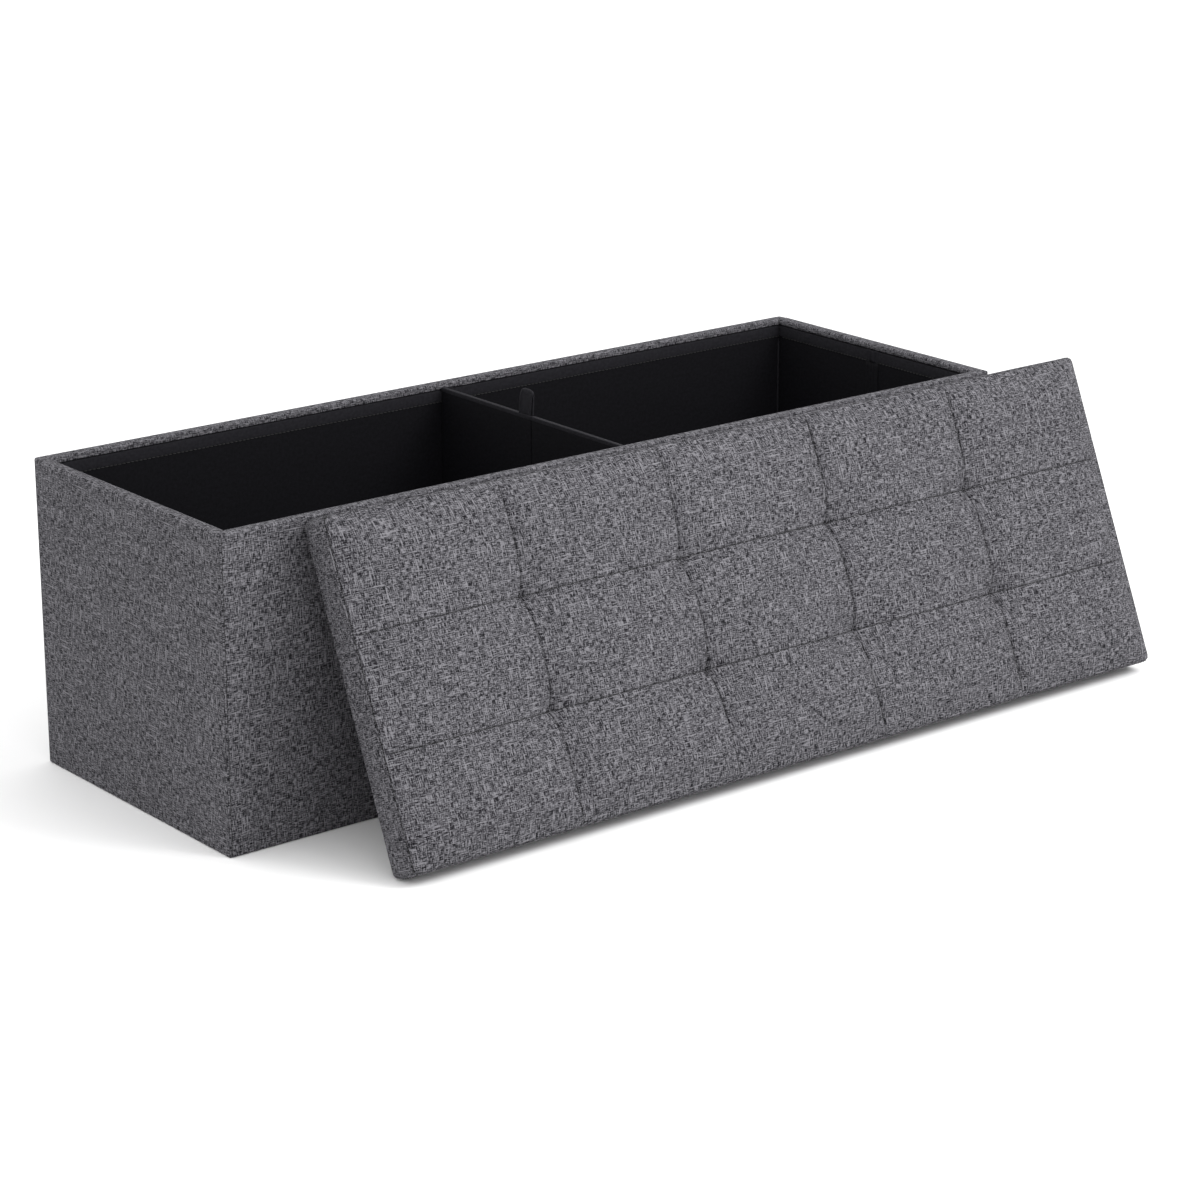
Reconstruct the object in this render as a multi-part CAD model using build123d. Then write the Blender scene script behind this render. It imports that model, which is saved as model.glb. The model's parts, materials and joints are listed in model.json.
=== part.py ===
"""Folding storage ottoman: a knock-down upholstered box with a loose tufted lid leaning on its front.

The origin is the middle of the box's footprint, on the floor. X runs along the box, -Y is the front and
+Z is up. Every panel is a board in a linen cover that turns over the rim, with a non-woven lining and a
binding tape inside. The end panels and the divider are split at half depth and fold inward about Z.
"""
from build123d import *
import math
import os

# ---- the box ----
BOX_LENGTH = 1100.0
BOX_WIDTH = 380.0
BOX_HEIGHT = 355.0
PANEL_THICKNESS = 14.0
CLOTH = 1.2                # linen, lining and tape are all this thick
FRONT_CORNER_RADIUS = 3.0  # outer upright edges at the front wall's ends, which are seamed
BACK_CORNER_RADIUS = 9.0   # and at the back wall's ends, where the linen runs on round
RIM_TURN = 7.0             # how far the linen turns down inside the rim
TAPE_HEIGHT = 15.0         # binding tape below it
FOLD_GAP = 0.5             # air left at every folding line, open and folded
# ---- the divider ----
DIVIDER_THICKNESS = 5.0
DIVIDER_CLOTH = 0.8
DIVIDER_BELOW_RIM = 5.0
LOOP_WIDTH = 22.0
LOOP_HEIGHT = 30.0
LOOP_THICKNESS = 2.4
LOOP_FROM_FOLD = 1.0
LOOP_CREST_FLAT = 0.2
# ---- the loose floor ----
SHEET_THICKNESS = 1.0
SHEET_CLEARANCE = 0.6
FLOOR_THICKNESS = 6.0
FLOOR_CLEARANCE = 0.5      # under the boards, and between boards and divider
FLOOR_END_MARGIN = 3.0     # beyond the board's own height, which is left free for the folding ends
FLOOR_SIDE_MARGIN = 2.0
# ---- the lid ----
LID_OVERHANG = 0.0         # past the box on every side when the lid is on
LID_THICKNESS = 50.0
LID_BOARD = 9.0
LID_CORNER_RADIUS = 9.0
LID_EDGE_RADIUS = 7.0
LID_TURN_UNDER = 26.0      # linen folded under the board
STAPLE_CROWN = 10.0
STAPLE_WIRE = 0.6
STAPLE_INSET = 12.0       # from the dust cover's edge
STAPLE_PITCH = 62.0
THREAD_RADIUS = 1.0
TUFT_COLUMNS = 4
TUFT_ROWS = 2
# ---- where the lid leans ----
LEAN_BELOW_RIM = 6.0       # how far under the rim the lid's upper edge meets the wall
LEAN_GAP = 3.0             # between that edge and the wall, filled by the soft cover
LEAN_STEEPEST = 75.0       # degrees; a lid too narrow for the rim leans on the wall below it
LID_SHIFT = 100.0          # along X, past the right end

LID_LENGTH = BOX_LENGTH + 2 * LID_OVERHANG
LID_WIDTH = BOX_WIDTH + 2 * LID_OVERHANG
HALF_GAP = FOLD_GAP / 2
DIVIDER_BOTTOM = SHEET_THICKNESS + 2 * FLOOR_CLEARANCE + FLOOR_THICKNESS
DIVIDER_TOP = BOX_HEIGHT - DIVIDER_BELOW_RIM
INNER_HALF = BOX_WIDTH / 2 - PANEL_THICKNESS
END_HALF_LENGTH = INNER_HALF - FOLD_GAP - HALF_GAP


def block(x0, x1, y0, y1, z0, z1):
    """A box between two opposite corners."""
    size = (x1 - x0, y1 - y0, z1 - z0)
    return Pos((x0 + x1) / 2, (y0 + y1) / 2, (z0 + z1) / 2) * Box(*size)


def rounded(solid, radius):
    """A panel's solid with the two upright edges of its outer face, at y = 0, rounded if it has a radius."""
    return fillet(solid.edges().filter_by(Axis.Z).group_by(Axis.Y)[0], radius) if radius > 0 else solid


def panel(length, corner_radius):
    """Board, linen, lining and tape of one panel, outer face at y = 0, standing on z = 0."""
    lip = BOX_HEIGHT - RIM_TURN
    inner = PANEL_THICKNESS - CLOTH
    board = block(CLOTH, length - CLOTH, CLOTH, inner, CLOTH, BOX_HEIGHT - CLOTH)
    board = rounded(board, corner_radius - CLOTH)
    hull = block(0, length, 0, PANEL_THICKNESS, 0, BOX_HEIGHT)
    hull = rounded(hull, corner_radius)
    window = block(CLOTH, length - CLOTH, inner, PANEL_THICKNESS, CLOTH, lip)
    tape = block(CLOTH, length - CLOTH, inner, PANEL_THICKNESS, lip - TAPE_HEIGHT, lip)
    lining = block(CLOTH, length - CLOTH, inner, PANEL_THICKNESS, CLOTH, lip - TAPE_HEIGHT)
    return {"board": board, "linen": hull - board - window, "lining": lining, "binding": tape}


def wall_panels():
    """The two long walls and the four half ends: name, corner radius, length and place."""
    long_x, long_y = BOX_LENGTH / 2, BOX_WIDTH / 2
    half = END_HALF_LENGTH
    return {
        "front_wall": (BOX_LENGTH, FRONT_CORNER_RADIUS, Pos(-long_x, -long_y, 0)),
        "back_wall": (BOX_LENGTH, BACK_CORNER_RADIUS, Pos(long_x, long_y, 0) * Rot(0, 0, 180)),
        "left_end_front": (half, 0, Pos(-long_x, -HALF_GAP, 0) * Rot(0, 0, -90)),
        "left_end_back": (half, 0, Pos(-long_x, HALF_GAP + half, 0) * Rot(0, 0, -90)),
        "right_end_front": (half, 0, Pos(long_x, -HALF_GAP - half, 0) * Rot(0, 0, 90)),
        "right_end_back": (half, 0, Pos(long_x, HALF_GAP, 0) * Rot(0, 0, 90)),
    }


def divider_half(y0, y1):
    """A thin board in a non-woven sleeve that is open at its foot."""
    half = DIVIDER_THICKNESS / 2
    inner = half - DIVIDER_CLOTH
    sleeve = block(-half, half, y0, y1, DIVIDER_BOTTOM, DIVIDER_TOP)
    ends = y0 + DIVIDER_CLOTH, y1 - DIVIDER_CLOTH
    board = block(-inner, inner, *ends, DIVIDER_BOTTOM, DIVIDER_TOP - DIVIDER_CLOTH)
    return {"board": board, "sleeve": sleeve - board}


def pull_loop():
    """A ribbon folded flat on itself, sewn to the back half's top beside the fold."""
    y0 = HALF_GAP + LOOP_FROM_FOLD
    half = LOOP_THICKNESS / 2
    tab = block(-half, half, y0, y0 + LOOP_WIDTH, DIVIDER_TOP, DIVIDER_TOP + LOOP_HEIGHT)
    crest = tab.edges().filter_by(Axis.Y).group_by(Axis.Z)[-1]
    return fillet(crest, half - LOOP_CREST_FLAT)


def floor_board(side):
    """One loose floor board in its cover; side is -1 for the left compartment and 1 for the right."""
    low = SHEET_THICKNESS + FLOOR_CLEARANCE
    high = low + FLOOR_THICKNESS
    far = BOX_LENGTH / 2 - PANEL_THICKNESS - high - FLOOR_END_MARGIN
    reach = INNER_HALF - FLOOR_SIDE_MARGIN
    x0, x1 = sorted((side * FLOOR_CLEARANCE, side * far))
    cover = block(x0, x1, -reach, reach, low, high)
    board = block(x0 + CLOTH, x1 - CLOTH, CLOTH - reach, reach, low + CLOTH, high - CLOTH)
    return {"board": board, "cover": cover - board}


def lid_parts():
    """The lid lying flat, underside at z = 0 and centred on the origin."""
    long_x, long_y = LID_LENGTH / 2, LID_WIDTH / 2
    board_low, board_high = CLOTH, CLOTH + LID_BOARD
    hull = lid_hull(0)
    inside = lid_hull(CLOTH)
    under = LID_TURN_UNDER
    window = block(under - long_x, long_x - under, under - long_y, long_y - under, 0, CLOTH)
    slab = block(-long_x, long_x, -long_y, long_y, board_low, board_high)
    threads = tuft_threads(board_low, LID_THICKNESS - CLOTH)
    board = (inside & slab) - threads
    foam = inside - slab - threads
    return {
        "lid_board": board,
        "lid_foam": foam,
        "lid_linen": hull - inside - window,
        "lid_dust_cover": window,
        "lid_tuft_threads": threads,
        "lid_staples": staples(),
    }


def lid_hull(inset):
    """The lid's outline drawn in by inset on every side, with soft corners and a soft padded edge."""
    x, y = LID_LENGTH / 2 - inset, LID_WIDTH / 2 - inset
    solid = block(-x, x, -y, y, inset, LID_THICKNESS - inset)
    solid = fillet(solid.edges().filter_by(Axis.Z), LID_CORNER_RADIUS - inset)
    crest = solid.faces().sort_by(Axis.Z)[-1].edges()
    return fillet(crest, LID_EDGE_RADIUS - inset)


def tuft_places():
    """The sewn points of the cushion: a grid that leaves equal pads around it."""
    pitch_x = LID_LENGTH / (TUFT_COLUMNS + 1)
    pitch_y = LID_WIDTH / (TUFT_ROWS + 1)
    for column in range(TUFT_COLUMNS):
        for row in range(TUFT_ROWS):
            x = (column - (TUFT_COLUMNS - 1) / 2) * pitch_x
            yield x, (row - (TUFT_ROWS - 1) / 2) * pitch_y


def tuft_threads(low, high):
    """The cords that pull the cushion down at its sewn points."""
    thread = Pos(0, 0, (low + high) / 2) * Cylinder(THREAD_RADIUS, high - low)
    return Compound([Pos(x, y, 0) * thread for x, y in tuft_places()])


def staples():
    """The staple crowns that hold the dust cover, in a ring just inside its edge."""
    x = LID_LENGTH / 2 - LID_TURN_UNDER - STAPLE_INSET
    y = LID_WIDTH / 2 - LID_TURN_UNDER - STAPLE_INSET
    crown = Pos(0, 0, -STAPLE_WIRE / 2) * Box(STAPLE_CROWN, STAPLE_WIRE, STAPLE_WIRE)
    ring = []
    for side in (-1, 1):
        ring += [Pos(step, side * y, 0) * crown for step in spaced(x)]
        ring += [Pos(side * x, step, 0) * Rot(0, 0, 90) * crown for step in spaced(y)]
    return Compound(ring)


def spaced(half_span):
    """Even places along one side, clear of its two ends."""
    count = max(2, int(2 * half_span / STAPLE_PITCH))
    pitch = 2 * half_span / (count + 1)
    return [-half_span + pitch * (index + 1) for index in range(count)]


def lean():
    """Where the lid stands: its lower edge on the floor, its upper edge against the front wall."""
    share = min((BOX_HEIGHT - LEAN_BELOW_RIM) / LID_WIDTH, 1)
    angle = min(math.asin(share), math.radians(LEAN_STEEPEST))
    half = LID_WIDTH / 2
    y = -BOX_WIDTH / 2 - LEAN_GAP - half * math.cos(angle)
    return Pos(LID_SHIFT, y, half * math.sin(angle)) * Rot(math.degrees(angle), 0, 0)


def all_nodes():
    """Every piece by its node name, in its place."""
    nodes = {}
    for name, (length, radius, place) in wall_panels().items():
        for piece, solid in panel(length, radius).items():
            nodes[f"{name}_{piece}"] = place * solid
    y_end = INNER_HALF - FOLD_GAP
    for name, y0, y1 in (("front", -y_end, -HALF_GAP), ("back", HALF_GAP, y_end)):
        for piece, solid in divider_half(y0, y1).items():
            nodes[f"divider_{name}_{piece}"] = solid
    nodes["divider_pull_loop"] = pull_loop()
    for name, side in (("left", -1), ("right", 1)):
        for piece, solid in floor_board(side).items():
            nodes[f"{name}_floor_{piece}"] = solid
    sheet_x = BOX_LENGTH / 2 - PANEL_THICKNESS - SHEET_CLEARANCE
    sheet_y = INNER_HALF - SHEET_CLEARANCE
    nodes["bottom_sheet"] = block(-sheet_x, sheet_x, -sheet_y, sheet_y, 0, SHEET_THICKNESS)
    leaning = lean()
    for name, solid in lid_parts().items():
        nodes[name] = leaning * solid
    return nodes


if __name__ == "__main__":
    os.makedirs("parts", exist_ok=True)
    for node, solid in all_nodes().items():
        export_step(solid, f"parts/{node}.step")
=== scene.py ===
"""Looks of a folding storage ottoman: linen box, black inside, and a tufted lid leaning on its front."""
from __future__ import annotations

import json
import logging
import math
from dataclasses import dataclass
from enum import Enum
from typing import Callable, Iterable, NamedTuple, Sequence

import bmesh
import bpy
import numpy as np
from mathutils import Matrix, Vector

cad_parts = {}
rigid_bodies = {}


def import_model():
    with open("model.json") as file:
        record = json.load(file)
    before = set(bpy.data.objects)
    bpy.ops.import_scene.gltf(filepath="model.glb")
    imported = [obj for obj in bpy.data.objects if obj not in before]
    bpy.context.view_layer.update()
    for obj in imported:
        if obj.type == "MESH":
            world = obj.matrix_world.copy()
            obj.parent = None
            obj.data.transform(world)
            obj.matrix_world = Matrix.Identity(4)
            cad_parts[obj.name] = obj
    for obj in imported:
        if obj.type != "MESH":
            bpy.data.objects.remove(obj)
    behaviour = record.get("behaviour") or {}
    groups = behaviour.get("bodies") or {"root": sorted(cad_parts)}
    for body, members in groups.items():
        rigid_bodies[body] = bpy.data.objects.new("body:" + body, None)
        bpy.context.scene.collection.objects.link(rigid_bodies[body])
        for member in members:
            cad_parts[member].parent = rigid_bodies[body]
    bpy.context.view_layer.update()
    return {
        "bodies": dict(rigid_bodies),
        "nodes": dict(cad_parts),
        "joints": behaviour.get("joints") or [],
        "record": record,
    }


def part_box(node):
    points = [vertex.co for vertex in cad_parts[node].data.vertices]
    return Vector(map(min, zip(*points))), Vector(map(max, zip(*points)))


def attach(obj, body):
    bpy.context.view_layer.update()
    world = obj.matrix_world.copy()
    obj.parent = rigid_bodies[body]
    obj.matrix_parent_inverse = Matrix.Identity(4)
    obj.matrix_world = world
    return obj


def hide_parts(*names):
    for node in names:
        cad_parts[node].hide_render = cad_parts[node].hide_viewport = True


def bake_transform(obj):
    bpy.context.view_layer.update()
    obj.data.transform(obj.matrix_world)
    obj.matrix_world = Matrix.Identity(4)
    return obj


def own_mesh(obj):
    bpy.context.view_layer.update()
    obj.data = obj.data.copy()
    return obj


Array = np.ndarray
Socket = bpy.types.NodeSocket
Material = bpy.types.Material
Colour = tuple[float, float, float]
Sample = Callable[[Array, Array], Array]

LOG = logging.getLogger("ottoman")
MM = 0.001
FRONT_CORNER = 3 * MM  # radius of the box's upright corners in front, where they are seamed
BACK_CORNER = 9 * MM  # and at the back
CALM = 30 * MM  # width of the border in which a soft unevenness fades out
CLOTH = "cloth"  # name of the point attribute that says where a point lies on the cloth, in metres
WELD = 2e-6  # points closer than this are made one
TINY = 1e-9  # least length that a direction is divided by
QUARTER_ROUND = np.array([0.12, 0.29, 0.5, 0.71, 1.0])  # where a round edge needs points, in radii


# ---------------------------------------------------------------- arrays
def fade(over: float, *distances: Array) -> Array:
    """0 where the least distance is 0 or less, rising evenly to 1 where it is over or more."""
    return np.clip(np.minimum.reduce(distances) / over, 0, 1)


def bell(value: Array, width: float, power: float = 2) -> Array:
    """1 where value is 0, falling to 1/e at width."""
    return np.exp(-((value / width) ** power))


def nearest(value: Array, marks: Array) -> Array:
    """How far each value is from the nearest mark."""
    return np.abs(value[..., None] - marks).min(axis=-1)


def unit(vectors: Array) -> Array:
    """The vectors of the last axis, scaled to length 1."""
    return vectors / np.maximum(np.linalg.norm(vectors, axis=-1, keepdims=True), TINY)


def run_length(path: Array) -> Array:
    """How far along the path each of its points lies."""
    return np.concatenate([[0], np.cumsum(np.linalg.norm(np.diff(path, axis=0), axis=1))])


def round_angles(sides: int) -> Array:
    """Evenly spread angles once round, in radians."""
    return np.linspace(0, 2 * math.pi, sides, endpoint=False)


def node_box(name: str) -> tuple[Array, Array]:
    """The lowest and the highest corner of a CAD node's box."""
    low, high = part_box(name)
    return np.array(low), np.array(high)


def quads(number: Array) -> Array:
    """Faces between the neighbours of a numbered grid, looking along row step x column step."""
    corners = number[..., :-1, :-1], number[..., 1:, :-1], number[..., 1:, 1:], number[..., :-1, 1:]
    return np.stack([corner.ravel() for corner in corners], axis=1)


def grid_edge(layer: Array) -> Array:
    """The outer points of a grid in order, once round, starting along its first column."""
    return np.concatenate([layer[:-1, 0], layer[-1, :-1], layer[:0:-1, -1], layer[0, :0:-1]])


def waves(across: Array, along: Array, height: float, seed: int) -> Array:
    """A soft unevenness: six long sine waves in seeded directions, added up.

    Args:
        across: first coordinate in metres.
        along: second coordinate in metres.
        height: of the tallest crest, about.
        seed: chooses the directions, pitches and phases.

    Returns:
        How far each point is raised.
    """
    count, likely_crest = 6, 3.5
    draw = np.random.default_rng(seed)
    turns, pitches, phases = (draw.uniform(*span, count) for span in ((0, math.pi), (0.05, 0.32), (0, 6.3)))
    total = np.zeros_like(across)
    for turn, pitch, phase in zip(turns, pitches, phases):
        run = across * math.cos(turn) + along * math.sin(turn)
        total += np.sin(run * 2 * math.pi / pitch + phase)
    return total * height / likely_crest


def rounded(x: Array, y: Array, half: Sequence[float], radius: float | Array) -> tuple[Array, Array]:
    """Draws a rectangle's points on to one with round corners.

    In each corner square of side r a point (p, q) moves to (p sqrt(1 - q q / 2 r r), q sqrt(1 - p p / 2 r r)).

    Args:
        x: along the rectangle, 0 in its middle.
        y: across it.
        half: half its length and half its width.
        radius: of the corners, one number or one for each point.

    Returns:
        The new x and y.
    """
    core_x, core_y = half[0] - radius, half[1] - radius
    p, q = np.maximum(np.abs(x) - core_x, 0), np.maximum(np.abs(y) - core_y, 0)
    bent_p = p * np.sqrt(np.maximum(1 - (q / radius) ** 2 / 2, 0))
    bent_q = q * np.sqrt(np.maximum(1 - (p / radius) ** 2 / 2, 0))
    new_x = np.sign(x) * (np.minimum(np.abs(x), core_x) + bent_p)
    return new_x, np.sign(y) * (np.minimum(np.abs(y), core_y) + bent_q)


def round_corners(points: Array) -> Array:
    """Rounds the box's upright corners in the row frame: sharp at the front, soft at the back.

    Args:
        points: in the row frame, (n, 3).

    Returns:
        The points, moved only in the corner squares.
    """
    x, y, z = points.T
    radius = np.where(y > 0, BACK_CORNER, FRONT_CORNER)
    return np.stack([*rounded(x, y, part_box("back_wall_linen")[1][:2], radius), z], axis=1)


def steps(length: float, step: float, marks: Iterable[float] = (), fine: float = 0.0,
          edge: float = 0.0) -> Array:
    """Places from 0 to length, evenly spread, with finer ones beside the marks and at both ends.

    Args:
        length: how far the places run.
        step: the even spacing.
        marks: places that need finer steps round them.
        fine: spacing of the finer steps, five to each side of a mark.
        edge: depth of the finer zone at both ends.

    Returns:
        The places in order; an even one is left out within 0.45 steps of a finer one.
    """
    even = np.linspace(0, length, max(2, round(length / step) + 1))
    extra = [mark + fine * np.arange(-5, 6) for mark in marks]
    if edge:
        extra += [edge * QUARTER_ROUND, length - edge * QUARTER_ROUND]
    if not extra:
        return even
    inner = [places[(places > 0) & (places < length)] for places in extra]
    kept = np.unique(np.round(np.concatenate([[0.0, length], *inner]), 7))
    gap = np.abs(even[:, None] - kept[None, :]).min(axis=1)
    return np.sort(np.concatenate([kept, even[gap > 0.45 * step]]))


# ---------------------------------------------------------------- surfaces
@dataclass
class Patch:
    """A surface of four-cornered faces that knows where each point lies on its cloth.

    Attributes:
        points: places in metres, one row each.
        faces: corner numbers, one face a row.
        cloth: metres along and across the weave, one row a point.
    """

    points: Array
    faces: Array
    cloth: Array

    @staticmethod
    def grid(points: Array, cloth: Array, closed: bool = False) -> Patch:
        """A patch from points laid out as (rows, columns, 3), or from a pile of such grids.

        Args:
            points: the laid out places.
            cloth: the laid out weave coordinates.
            closed: whether the last column joins the first.

        Returns:
            The patch.
        """
        number = np.arange(points[..., 0].size).reshape(points.shape[:-1])
        if closed:
            number = np.concatenate([number, number[..., :1]], axis=-1)
        return Patch(points.reshape(-1, 3), quads(number), cloth.reshape(-1, 2))

    @staticmethod
    def join(patches: Sequence[Patch]) -> Patch:
        """All patches as one, unwelded.

        Args:
            patches: those to join, in order.

        Returns:
            The one patch.
        """
        starts = np.cumsum([0] + [len(patch.points) for patch in patches[:-1]])
        faces = [patch.faces + start for patch, start in zip(patches, starts)]
        points = np.concatenate([patch.points for patch in patches])
        return Patch(points, np.concatenate(faces), np.concatenate([patch.cloth for patch in patches]))

    def mapped(self, *changes: Callable[[Array], Array]) -> Patch:
        """The patch with its points passed through each change in turn.

        Args:
            changes: functions of (n, 3) points that give as many.

        Returns:
            The new patch.
        """
        points = self.points
        for change in changes:
            points = change(points)
        return Patch(points, self.faces, self.cloth)

    def flipped(self) -> Patch:
        """The patch with its faces looking the other way."""
        return Patch(self.points, self.faces[:, ::-1], self.cloth)


def slab(size: Sequence[float], radius: float, step: float = 0.01, levels: Sequence[float] = ()) -> Patch:
    """A closed block with round edges, from 0 to size on each axis.

    Each of the six faces is a grid on the plain block. A point is then drawn to within radius of the
    inner block that lies radius under the surface, which rounds edges and corners alike.

    Args:
        size: length, depth and height in metres.
        radius: of every edge.
        step: even spacing of the grids.
        levels: heights that need finer rows round them.

    Returns:
        The block, its weave running along the length and up the outer face, over the top and down inside.
    """
    size = np.asarray(size, float)
    ticks = [steps(side, min(step, side), edge=radius) for side in size]
    ticks[2] = steps(size[2], min(step, size[2]), levels, 0.4 * MM, radius)
    patches = []
    for axis in range(3):
        first, second = (axis + 1) % 3, (axis + 2) % 3
        a, b = np.meshgrid(ticks[first], ticks[second], indexing="ij")
        for high in (False, True):
            points = np.zeros(a.shape + (3,))
            points[..., first], points[..., second] = a, b
            points[..., axis] = size[axis] if high else 0.0
            length, depth, height = points[..., 0], points[..., 1], points[..., 2]
            cloth = ((length + (depth if high else -depth), height),
                     (length, 2 * size[2] + size[1] - height if high else height),
                     (length, size[2] + depth if high else -depth))[axis]
            core = np.clip(points, radius, size - radius)
            patch = Patch.grid(core + radius * unit(points - core), np.stack(cloth, axis=-1))
            patches.append(patch if high else patch.flipped())
    return Patch.join(patches)


def sheet(skins: Sequence[Array], cloth: Array) -> Patch:
    """A thin closed sheet from two facing grids of points: both skins and the strips between their edges.

    Args:
        skins: the two grids, (rows, columns, 3) each.
        cloth: the weave coordinates of both, (rows, columns, 2).

    Returns:
        The sheet.
    """
    patches = [Patch.grid(skin, cloth) for skin in skins]
    for cut in (np.s_[0, :], np.s_[-1, :], np.s_[:, 0], np.s_[:, -1]):
        points = np.stack([skin[cut] for skin in skins], axis=1)
        patches.append(Patch.grid(points, np.stack([cloth[cut]] * 2, axis=1)))
    return Patch.join(patches)


def rings(centre: Array, ahead: Array, guide: Sequence[float], width: Array, turn: Array) -> Array:
    """Rings of points round places, square to a direction.

    Args:
        centre: the places, (..., 3).
        ahead: the unit direction at each place.
        guide: a direction that none of them has.
        width: radius of each ring.
        turn: the angles at which a ring has its points.

    Returns:
        The points, (..., angles, 3).
    """
    side = unit(np.cross(ahead, guide))
    up = np.cross(side, ahead)
    ring = side[..., None, :] * np.cos(turn)[:, None] + up[..., None, :] * np.sin(turn)[:, None]
    return centre[..., None, :] + ring * width[..., None, None]


def upright_bar(path: Array, radius: float = 1.1 * MM, sides: int = 8) -> Patch:
    """A round bar along a nearly upright path, closed by shrinking its last rings to points.

    Args:
        path: places along the middle, (n, 3).
        radius: of the bar.
        sides: corners of a ring.

    Returns:
        The bar, its weave running along the path.
    """
    width = np.full(len(path), radius)
    width[[0, -1]] = 0.01 * MM
    turn = round_angles(sides)
    points = rings(path, unit(np.gradient(path, axis=0)), (1, 0, 0), width, turn)
    cloth = np.stack(np.broadcast_arrays(run_length(path)[:, None], turn * radius), axis=-1)
    return Patch.grid(points, cloth, closed=True).flipped()


def stitches(path: Array, pitch: float, length: float, radius: float) -> Patch:
    """A row of sewn stitches: one short six-sided bar for each pitch of the path, dipping at its ends.

    Args:
        path: places along the row, (n, 3).
        pitch: from one stitch to the next.
        length: of the thread that shows.
        radius: of the thread.

    Returns:
        All stitches as one patch, worked out as whole arrays.
    """
    run = run_length(path)
    middle = (np.arange(int(run[-1] / pitch)) + 0.5) * pitch
    place = middle[:, None] + np.linspace(-0.5, 0.5, 4) * length
    centre = np.stack([np.interp(place, run, path[:, axis]) for axis in range(3)], axis=-1)
    ahead = unit(centre[:, -1:] - centre[:, :1])
    turn = round_angles(6)
    points = rings(centre, ahead, (0.31, 0.83, 0.47), np.array([0.15, 1.0, 1.0, 0.15]) * radius, turn)
    cloth = np.stack(np.broadcast_arrays(place[..., None], turn * radius), axis=-1)
    return Patch.grid(points, cloth, closed=True).flipped()


# ---------------------------------------------------------------- finishes
class Recipe:
    """A material being put together, with short calls for the nodes that cloth needs."""

    def __init__(self, name: str) -> None:
        """Starts a material with a principled shader.

        Args:
            name: of the material.
        """
        self.material = bpy.data.materials.new(name)
        self.material.use_nodes = True
        self.tree = self.material.node_tree
        self.shader = self.tree.nodes["Principled BSDF"]

    def node(self, kind: str, **settings: object) -> bpy.types.Node:
        """A new node with its properties set.

        Args:
            kind: Blender's name for the node's type.
            settings: its properties.

        Returns:
            The node.
        """
        made = self.tree.nodes.new(kind)
        for key, value in settings.items():
            setattr(made, key, value)
        return made

    def link(self, source: Socket, target: Socket) -> None:
        """Joins an output to an input."""
        self.tree.links.new(source, target)

    def weave(self) -> Socket:
        """Where the surface point lies on the cloth, in metres."""
        made = self.node("ShaderNodeAttribute", attribute_type="GEOMETRY", attribute_name=CLOTH)
        return made.outputs["Vector"]

    def stretched(self, source: Socket, scale: Sequence[float]) -> Socket:
        """The source scaled on each axis.

        Args:
            source: a vector.
            scale: one factor for each axis.

        Returns:
            The scaled vector.
        """
        mapping = self.node("ShaderNodeMapping", vector_type="POINT")
        self.link(source, mapping.inputs["Vector"])
        mapping.inputs["Scale"].default_value = tuple(scale)
        return mapping.outputs["Vector"]

    def noise(self, source: Socket, scale: Sequence[float], detail: float) -> Socket:
        """Smooth noise, 0 to 1, of the scaled source.

        Args:
            source: a vector in metres.
            scale: features in a metre on each axis.
            detail: how many finer octaves are added.

        Returns:
            The noise.
        """
        made = self.node("ShaderNodeTexNoise", noise_dimensions="3D")
        made.inputs["Scale"].default_value = 1.0
        made.inputs["Detail"].default_value = detail
        self.link(self.stretched(source, scale), made.inputs["Vector"])
        return made.outputs["Fac"]

    def math(self, kind: str, first: object, second: object) -> Socket:
        """The result of one sum, with sockets or numbers as its terms.

        Args:
            kind: Blender's name for the operation.
            first: its first term.
            second: its second term.

        Returns:
            The result.
        """
        made = self.node("ShaderNodeMath", operation=kind)
        for socket, term in zip(made.inputs, (first, second)):
            if isinstance(term, (int, float)):
                socket.default_value = term
            else:
                self.link(term, socket)
        return made.outputs[0]

    def paint(self, source: Socket, stops: Sequence[tuple[float, Sequence[float]]]) -> None:
        """Colours the shader along the source, from (place, (r, g, b)) stops.

        Args:
            source: a number, 0 to 1.
            stops: the places in order, each with its colour.
        """
        made = self.node("ShaderNodeValToRGB")
        band = made.color_ramp
        while len(band.elements) < len(stops):
            band.elements.new(0.5)
        for element, (place, colour) in zip(band.elements, stops):
            element.position = place
            element.color = (*colour, 1.0)
        self.link(source, made.inputs["Fac"])
        self.link(made.outputs["Color"], self.shader.inputs["Base Color"])

    def bump(self, height: Socket, depth: float, strength: float = 1.0) -> None:
        """Raises the shading by height, depth metres from low to high.

        Args:
            height: a number, 0 to 1.
            depth: metres that the full range stands for.
            strength: share of the effect.
        """
        made = self.node("ShaderNodeBump")
        made.inputs["Strength"].default_value = strength
        made.inputs["Distance"].default_value = depth
        self.link(height, made.inputs["Height"])
        self.link(made.outputs["Normal"], self.shader.inputs["Normal"])

    def constants(self, **values: float) -> None:
        """Sets plain numbers on the shader's own sockets, spaces in their names written as underscores."""
        for key, value in values.items():
            self.shader.inputs[key.replace("_", " ")].default_value = value


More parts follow.
